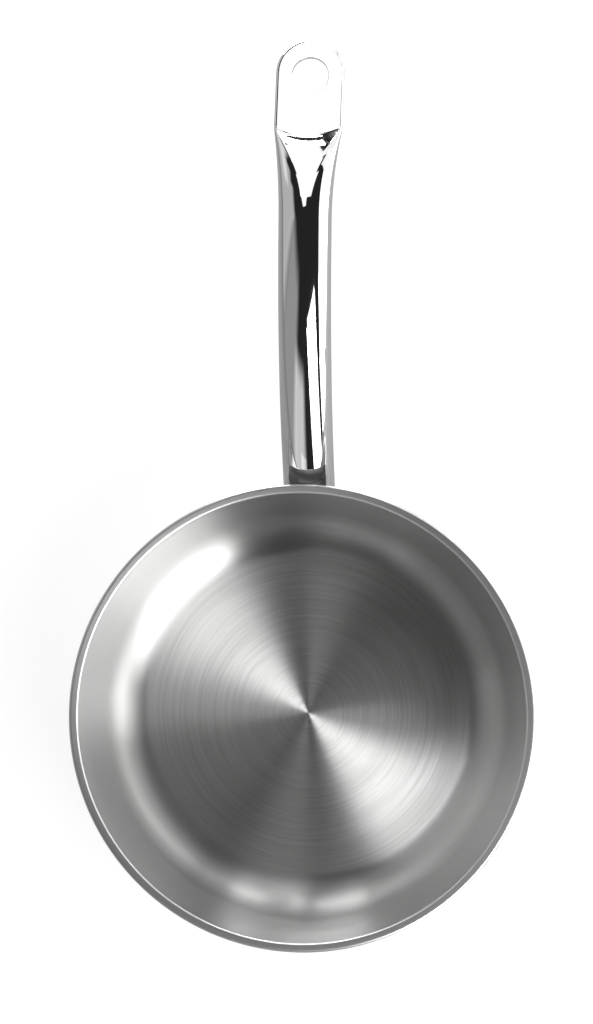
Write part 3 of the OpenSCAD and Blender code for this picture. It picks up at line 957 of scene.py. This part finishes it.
def vessel_outline(shape):
    """The sheet's outline from the middle of the floor, over the rim and back under the floor."""
    v, up = shape.v, math.pi / 2
    slope, band, edge_end = up + shape.wall_angle, up + v.lip_rise, up - v.lip_turn
    tip = shape.edge + (v.lip_edge_r - v.sheet_t / 2) * direction(edge_end)
    foot = shape.wall_angle - up
    corner = arc(shape.corner, v.corner_r, -up, foot, CORNER_STEPS)
    bend = arc(shape.bend, v.lip_bend_r, slope, band, BEND_STEPS)
    edge = arc(shape.edge, v.lip_edge_r, band, edge_end, EDGE_STEPS)
    curl = arc(tip, v.sheet_t / 2, edge_end, edge_end - math.pi, CURL_STEPS)[1:-1]
    under_edge = arc(shape.edge, v.lip_edge_r - v.sheet_t, edge_end, band, UNDER_EDGE_STEPS)
    under_bend = arc(shape.bend, v.lip_bend_r - v.sheet_t, band, slope, UNDER_BEND_STEPS)
    under_corner = arc(shape.corner, v.corner_r + v.sheet_t, foot, -up, UNDER_CORNER_STEPS)
    middle, seat = (0, shape.floor_z), (0, shape.shell_under_z)
    inside = [middle] + supported(middle, corner[0], FLOOR_STEPS) + corner
    inside += supported(corner[-1], bend[0], WALL_STEPS)
    rim = bend + supported(bend[-1], edge[0], LIP_STEPS) + edge + curl
    outside = under_edge + supported(under_edge[-1], under_bend[0], LIP_STEPS) + under_bend
    outside += supported(under_bend[-1], under_corner[0], WALL_STEPS) + under_corner
    outside += supported(under_corner[-1], seat, SEAT_STEPS) + [seat]
    return zoned(inside, INSIDE) + zoned(rim, RIM) + zoned(outside, OUTSIDE)


CORE_CLEARANCE = 0.05 * MM
# Radii of the grooves turned into the cup's underside, and their width, depth and steps.
GROOVES = (22 * MM, 40 * MM, 58 * MM)
GROOVE_W = 1.6 * MM
GROOVE_D = 0.12 * MM
GROOVE_STEPS = 12
CUP_INNER_STEPS, CUP_OUTER_STEPS, CUP_WALL_STEPS = 8, 14, 2


def capsule_outline(shape):
    """The cup's outline from the middle of its inside, over its rim, and back under it."""
    v, up = shape.v, math.pi / 2
    inner_r = v.core_d / 2 + CORE_CLEARANCE
    edge_r = v.core_edge_r + CORE_CLEARANCE
    edge = np.array([inner_r - edge_r, v.cup_t + edge_r])
    inner = arc(edge, edge_r, -up, 0, CUP_INNER_STEPS)
    outer = arc(edge, edge_r + v.cup_t, 0, -up, CUP_OUTER_STEPS)
    middle, inner_top = (0, v.cup_t), (inner_r, shape.shell_under_z)
    outer_top = (inner_r + v.cup_t, shape.shell_under_z)
    outside = [outer_top] + supported(outer_top, outer[0], CUP_WALL_STEPS) + outer
    under = supported(outer[-1], (GROOVES[-1] + GROOVE_W, 0), CUP_WALL_STEPS)
    for groove_r in reversed(GROOVES):
        for k in range(GROOVE_STEPS + 1):
            f = k / GROOVE_STEPS
            rise = GROOVE_D * (1 - math.cos(2 * math.pi * f)) / 2
            under.append((groove_r + GROOVE_W * (0.5 - f), rise))
    under += [(SUPPORT, 0), (0, 0)]
    inside = [middle] + supported(middle, inner[0], SEAT_STEPS) + inner
    inside += supported(inner[-1], inner_top, CUP_WALL_STEPS) + [inner_top]
    return zoned(inside, INSIDE) + zoned(outside + under, OUTSIDE)


FLAT_ANGLE = math.radians(1)
SHARP_ANGLE = math.radians(35)
COPY_SEGMENTS = 2


def smooth_copy(node, name, bevel, material):
    """Merged copy of a CAD node with its flat facets joined and its edges rounded."""
    bm = bmesh.new()
    bm.from_mesh(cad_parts[node].data)
    bmesh.ops.remove_doubles(bm, verts=bm.verts, dist=MERGE_DISTANCE)
    bmesh.ops.dissolve_limit(bm, angle_limit=FLAT_ANGLE, verts=bm.verts, edges=bm.edges)
    mesh = bpy.data.meshes.new(name)
    bm.to_mesh(mesh)
    bm.free()
    mesh.shade_smooth()
    mesh.materials.append(material)
    piece = add_piece(name, mesh)
    deburr(piece, bevel, COPY_SEGMENTS, limit_method="ANGLE", angle_limit=SHARP_ANGLE)
    return piece


class PAN_OT_make_vessel(bpy.types.Operator):
    """Turn the vessel: cooking floor, wall and pouring rim from one sheet"""

    bl_idname = "pan.make_vessel"
    bl_label = "Vessel"

    # Where the floor's rings fade into the smoother wall, and what is left of them on the wall.
    FADE_BEFORE, FADE_BEYOND = 1.5 * MM, 3 * MM
    WALL_ROUGHNESS, WALL_LINES = 0.68, 0.15

    def execute(self, context):
        sizes, finish = context.scene.pan_vessel, context.scene.pan_finish
        floor_r = sizes.floor_d / 2
        fade = (floor_r - self.FADE_BEFORE, floor_r + self.FADE_BEYOND)
        smoothing = (*fade, self.WALL_ROUGHNESS, self.WALL_LINES)
        inside = ringed_metal("brushed inside", finish.vessel, finish, smoothing)
        rim = ringed_metal("satin rim", finish.rim, finish)
        outside = ringed_metal("brushed outside", finish.vessel, finish)
        outline = vessel_outline(VesselShape(sizes))
        piece = turned_piece("vessel", outline, sizes.turns, (inside, rim, outside))
        declare(piece, "pan_body")
        return {"FINISHED"}


class PAN_OT_make_base(bpy.types.Operator):
    """Turn the steel cup of the base and finish the aluminium core in it"""

    bl_idname = "pan.make_base"
    bl_label = "Base"

    def execute(self, context):
        sizes, finish = context.scene.pan_vessel, context.scene.pan_finish
        steel = ringed_metal("turned base", finish.capsule, finish)
        outline = capsule_outline(VesselShape(sizes))
        piece = turned_piece("base_cup", outline, sizes.turns // 2, (steel, steel, steel))
        declare(piece, "base_capsule")
        rolled = marked_metal("rolled aluminium", finish.aluminium)
        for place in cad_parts["heat_core"].material_slots:
            place.material = rolled
        return {"FINISHED"}


class PAN_OT_make_handle(bpy.types.Operator):
    """Shape the hollow handle: window, elbow, arch and flattened hanging tab"""

    bl_idname = "pan.make_handle"
    bl_label = "Handle"

    DEBURR_SEGMENTS = 3

    def execute(self, context):
        scene = context.scene
        shape = TubeShape(scene.pan_handle, VesselShape(scene.pan_vessel))
        mesh = TubeBuilder(shape).build()
        mesh.shade_smooth()
        finish = scene.pan_finish
        mesh.materials.append(marked_metal("polished handle", finish.handle))
        mesh.materials.append(marked_metal("drawn inside", finish.fitting))
        piece = add_piece("handle", mesh)
        deburr(piece, scene.pan_handle.edge_round, self.DEBURR_SEGMENTS, limit_method="WEIGHT")
        declare(piece, "handle_tube")
        return {"FINISHED"}


class PAN_OT_make_fittings(bpy.types.Operator):
    """Finish the end plug, the root bracket and its spot welds"""

    bl_idname = "pan.make_fittings"
    bl_label = "Fittings"

    # CAD node, name of the piece, radius of its edges, material, its colour's setting, and slot.
    FITTINGS = (
        ("end_plug", "end_plug_shell", 0.15 * MM, "pressed steel", "fitting", "fitting_steel"),
        ("root_bracket", "root_bracket_shell", 0.20 * MM, "pressed plate", "fitting", "fitting_steel"),
        ("spot_welds", "spot_weld_nuggets", 0.05 * MM, "spot weld metal", "weld", "weld_steel"),
    )

    def execute(self, context):
        finish = context.scene.pan_finish
        for node, name, edge_round, metal, setting, slot in self.FITTINGS:
            material = marked_metal(metal, getattr(finish, setting))
            declare(smooth_copy(node, name, edge_round, material), node)
        return {"FINISHED"}


class PAN_OT_make_weld(bpy.types.Operator):
    """Lay the rippled weld bead round the lower half of the handle's root"""

    bl_idname = "pan.make_weld"
    bl_label = "Root weld"

    POINTS = 60
    STEP = 0.12 * MM
    SIDES = 24

    def execute(self, context):
        scene, weld = context.scene, context.scene.pan_weld
        shape = TubeShape(scene.pan_handle, VesselShape(scene.pan_vessel))
        path = []
        for k in range(self.POINTS + 1):
            t = math.pi * (1 + k / self.POINTS)
            path.append(shape.point(shape.mouth(t, -weld.offset) + weld.offset, t, -weld.offset))
        source = bpy.data.meshes.new("path")
        source.from_pydata(path, [(k, k + 1) for k in range(self.POINTS)], [])
        metal = marked_metal("weld bead metal", scene.pan_finish.weld)
        inputs = {
            "Radius": weld.bead_r,
            "Pitch": weld.pitch,
            "Ripple": weld.ripple,
            "Bow": weld.bow,
            "Step": self.STEP,
            "Sides": self.SIDES,
            "Metal": metal,
        }
        piece = grown("root_weld_bead", source, group_once("weld bead", weld_bead_tree), inputs)
        declare(piece, "root_weld")
        return {"FINISHED"}


# Softboxes far from the pan, drawn in the world: the azimuth of the middle, half the width, the lowest
# and the highest elevation and the softness of the edges, all in degrees, and the brightness.
SOFTBOXES = (
    (122, 14, -20, 37, 8, 0.48),
    (146, 10, -20, 47, 8, 0.48),
    (177, 21, -20, 54, 10, 0.50),
    (218, 20, -20, 54, 16, 0.32),
    (137, 29, 18, 37, 10, 0.35),
    (250, 14, -20, 34, 12, 0.66),
)
SOFTBOX_ANGLES = ("Azimuth", "Half width", "Low", "High", "Edge")


def softbox_group(name):
    """Mask that is 1 towards a softbox and 0 elsewhere. All angles are in radians."""
    scalar = "NodeSocketFloat"
    inputs = {"Direction": ("NodeSocketVector", None)}
    inputs.update({label: (scalar, 0.1) for label in SOFTBOX_ANGLES})
    graph, given, result = new_group(name, "ShaderNodeTree", inputs, {"Mask": scalar})
    azimuth, half, low, high, edge = (given.outputs[label] for label in SOFTBOX_ANGLES)
    xyz = graph.add("ShaderNodeSeparateXYZ", {0: given.outputs["Direction"]}).outputs
    height = graph.maths("ARCSINE", xyz["Z"])
    level = graph.add("ShaderNodeCombineXYZ", {"X": xyz["X"], "Y": xyz["Y"]}).outputs[0]
    towards = graph.add(
        "ShaderNodeCombineXYZ", {"X": graph.maths("COSINE", azimuth), "Y": graph.maths("SINE", azimuth)}
    ).outputs[0]
    facing = graph.vector_value("DOT_PRODUCT", graph.vector("NORMALIZE", level), towards)
    aside = graph.maths("ARCCOSINE", graph.maths("MINIMUM", graph.maths("MAXIMUM", facing, -1.0), 1.0))
    soft = graph.maths("MULTIPLY", edge, 0.5)

    def step(value, middle, *ends):
        below = graph.maths("SUBTRACT", middle, soft)
        above = graph.maths("ADD", middle, soft)
        return graph.between(value, below, above, *ends, smooth=True)

    mask = graph.maths("MULTIPLY", step(aside, half, 1.0, 0.0), step(height, low, 0.0, 1.0))
    mask = graph.maths("MULTIPLY", mask, step(height, high, 1.0, 0.0))
    graph.feed(result.inputs["Mask"], mask)
    return graph.tree


def studio_world(studio):
    """World that lights the pan with a dim room and its softboxes, and shows white to the camera."""
    world = bpy.data.worlds.new("studio")
    world.use_nodes = True
    world.node_tree.nodes.clear()
    graph = Graph(world.node_tree)
    sky = graph.add("ShaderNodeTexCoord").outputs["Generated"]
    total = studio.fill
    for *angles, brightness in SOFTBOXES:
        inputs = {label: math.radians(a) for label, a in zip(SOFTBOX_ANGLES, angles)}
        group = place_group(graph, "softbox", softbox_group, {"Direction": sky, **inputs})
        total = graph.maths("MULTIPLY_ADD", group["Mask"], brightness, total)
    room = graph.add("ShaderNodeBackground", {"Color": (1, 1, 1, 1), "Strength": total})
    backdrop = graph.add("ShaderNodeBackground", {"Color": (1, 1, 1, 1), "Strength": 1.0})
    seen = graph.add("ShaderNodeLightPath").outputs["Is Camera Ray"]
    mixed = graph.add("ShaderNodeMixShader", {0: seen, 1: room.outputs[0], 2: backdrop.outputs[0]})
    graph.add("ShaderNodeOutputWorld", {"Surface": mixed.outputs[0]})
    return world


def floor_material(studio):
    """Pale floor, white to the camera and greyer in the metal, that keeps the pan's soft shadow."""
    material = bpy.data.materials.new("pale floor")
    material.use_nodes = True
    material.node_tree.nodes.clear()
    graph = Graph(material.node_tree)
    path = graph.add("ShaderNodeLightPath").outputs
    mirrored = graph.maths("MAXIMUM", path["Is Glossy Ray"], path["Is Transmission Ray"])
    seen = graph.maths("MAXIMUM", path["Is Camera Ray"], mirrored)
    bounce, tone = studio.floor_bounce, studio.floor_tone
    albedo = graph.blend(seen, (bounce, bounce, bounce, 1), (tone, tone, tone, 1))
    diffuse = graph.add("ShaderNodeBsdfDiffuse", {"Color": albedo}).outputs[0]
    dimmed = graph.maths("MULTIPLY", mirrored, studio.floor_mirrored)
    shown = graph.maths("MAXIMUM", path["Is Camera Ray"], dimmed)
    glow = graph.maths("MULTIPLY", shown, studio.floor_glow)
    emission = graph.add("ShaderNodeEmission", {"Color": (1, 1, 1, 1), "Strength": glow}).outputs[0]
    front = graph.add("ShaderNodeAddShader", {0: diffuse, 1: emission}).outputs[0]
    back = graph.add("ShaderNodeBsdfTransparent").outputs[0]
    behind = graph.add("ShaderNodeNewGeometry").outputs["Backfacing"]
    mixed = graph.add("ShaderNodeMixShader", {0: behind, 1: front, 2: back})
    graph.add("ShaderNodeOutputMaterial", {"Surface": mixed.outputs[0]})
    return material


IMAGE_W, IMAGE_H = 593, 1024
SENSOR = 36.0


def camera_matrix(studio, rim_z):
    """Camera to world: the rim's centre shows at the studio's pixel, at the studio's distance."""
    t, r = studio.tilt, studio.roll
    forward = Vector((-math.sin(t), 0, -math.cos(t)))
    side = forward.cross(Vector((0, 1, 0))).normalized()
    up = Vector((0, 1, 0)) * math.cos(r) - side * math.sin(r)
    up.normalize()
    right = forward.cross(up).normalized()
    x, y = studio.rim_px
    ray = forward * studio.focal_px + right * (x - IMAGE_W / 2) - up * (y - IMAGE_H / 2)
    matrix = Matrix((right, up, -forward)).transposed().to_4x4()
    matrix.translation = Vector((0, 0, rim_z)) - ray * (studio.camera_rise / studio.focal_px)
    return matrix


# Soft panels near the pan, on the dome: the azimuth and elevation of the middle, half the width, half
# the height and the turn to the right about the way it faces, all in degrees, and the brightness.
PANELS = {
    "key panel": (302, 29.5, 14, 29.5, 8, 3.0),
    "key core": (305, 45, 14, 13, 8, 6.4),
    "right panel": (22, 7, 38, 11, 0, 4.0),
    "right top panel": (20, 33, 29, 13, 0, 1.5),
    "right edge panel": (342.8, 26.1, 8, 12.5, 42, 4.5),
    "right foot panel": (333.6, 8.7, 11, 12, 20, 3.5),
    "back right panel": (72, 23, 14, 12, 0, 1.12),
    "back right top panel": (66, 38, 9, 4.5, 0, 1.12),
    "back low panel": (96, 4.4, 22, 5, 0, 22.0),
    "back left panel": (110, 15, 8.5, 5, 0, 8.0),
    "back near panel": (78, 15, 9, 5, 0, 7.0),
    "facet foot panel": (92.3, 16.3, 4.8, 3, 0, 9.0),
    "facet low panel": (92.7, 27, 3.2, 9.5, 0, 1.25),
    "facet middle panel": (90, 42.5, 4.6, 7.3, 0, 1.25),
    "facet top panel": (87, 57.5, 9, 10, 0, 1.25),
    "facet tip panel": (99, 69, 2.2, 6, 0, 1.25),
    "front panel": (259, 7, 7, 6, 0, 0.30),
}


def soft_panel(name, numbers, studio):
    """Area lamp on the dome round the pan; the camera doesn't see it."""
    *angles, brightness = numbers
    azimuth, elevation, half_w, half_h, turn = (math.radians(a) for a in angles)
    level = math.cos(elevation)
    outward = Vector((level * math.cos(azimuth), level * math.sin(azimuth), math.sin(elevation)))
    light = bpy.data.lights.new(name, "AREA")
    light.shape = "RECTANGLE"
    light.size = 2 * studio.dome_r * math.tan(half_w)
    light.size_y = 2 * studio.dome_r * math.tan(half_h)
    light.energy = brightness * math.pi * light.size * light.size_y
    lamp = bpy.data.objects.new(name, light)
    bpy.context.scene.collection.objects.link(lamp)
    upright = (-outward).to_track_quat("-Z", "Y").to_matrix()
    rolled = upright @ Matrix.Rotation(-turn, 3, "Z")
    place = Vector(studio.dome_middle) + studio.dome_r * outward
    lamp.matrix_world = Matrix.Translation(place) @ rolled.to_4x4()
    lamp.visible_camera = False


class PAN_OT_set_stage(bpy.types.Operator):
    """Set up the camera, the pale floor and the lights"""

    bl_idname = "pan.set_stage"
    bl_label = "Stage"

    def execute(self, context):
        scene, studio = context.scene, context.scene.pan_studio
        half = studio.floor_l / 2
        mesh = bpy.data.meshes.new("floor")
        corners = [(-half, -half), (half, -half), (half, half), (-half, half)]
        mesh.from_pydata([(x, y, -studio.floor_gap) for x, y in corners], [], [(0, 1, 2, 3)])
        mesh.materials.append(floor_material(studio))
        add_piece("floor", mesh)
        scene.world = studio_world(studio)
        for name, numbers in PANELS.items():
            soft_panel(name, numbers, studio)
        camera = bpy.data.cameras.new("camera")
        camera.sensor_fit = "VERTICAL"
        camera.sensor_width = camera.sensor_height = SENSOR
        camera.lens = SENSOR * studio.focal_px / IMAGE_H
        camera.clip_end = 2 * studio.floor_l
        holder = bpy.data.objects.new("camera", camera)
        scene.collection.objects.link(holder)
        holder.matrix_world = camera_matrix(studio, scene.pan_vessel.height)
        scene.camera = holder
        scene.view_settings.view_transform = "Standard"
        return {"FINISHED"}


class PAN_PT_steps(bpy.types.Panel):
    """The steps that make the pan, in order"""

    bl_idname = "PAN_PT_steps"
    bl_label = "Frying Pan"
    bl_space_type = "VIEW_3D"
    bl_region_type = "UI"
    bl_category = "Pan"

    def draw(self, context):
        for operator in OPERATORS:
            self.layout.operator(operator.bl_idname)
        for name in SETTINGS:
            settings = getattr(context.scene, name)
            box = self.layout.box()
            box.label(text=name.replace("_", " ").capitalize())
            for key in settings.__annotations__:
                box.prop(settings, key)


SETTINGS = {
    "pan_vessel": VesselSizes,
    "pan_handle": HandleSizes,
    "pan_weld": WeldSizes,
    "pan_finish": FinishSettings,
    "pan_studio": StudioSettings,
}
OPERATORS = (
    PAN_OT_make_vessel,
    PAN_OT_make_base,
    PAN_OT_make_handle,
    PAN_OT_make_fittings,
    PAN_OT_make_weld,
    PAN_OT_set_stage,
)


def register():
    for cls in (*SETTINGS.values(), *OPERATORS, PAN_PT_steps):
        bpy.utils.register_class(cls)
    for name, cls in SETTINGS.items():
        setattr(bpy.types.Scene, name, PointerProperty(type=cls))


def unregister():
    for name in SETTINGS:
        delattr(bpy.types.Scene, name)
    for cls in reversed((*SETTINGS.values(), *OPERATORS, PAN_PT_steps)):
        bpy.utils.unregister_class(cls)


def main():
    register()
    bpy.ops.pan.make_vessel()
    bpy.ops.pan.make_base()
    bpy.ops.pan.make_handle()
    bpy.ops.pan.make_fittings()
    bpy.ops.pan.make_weld()
    bpy.ops.pan.set_stage()


if __name__ == "__main__":
    main()
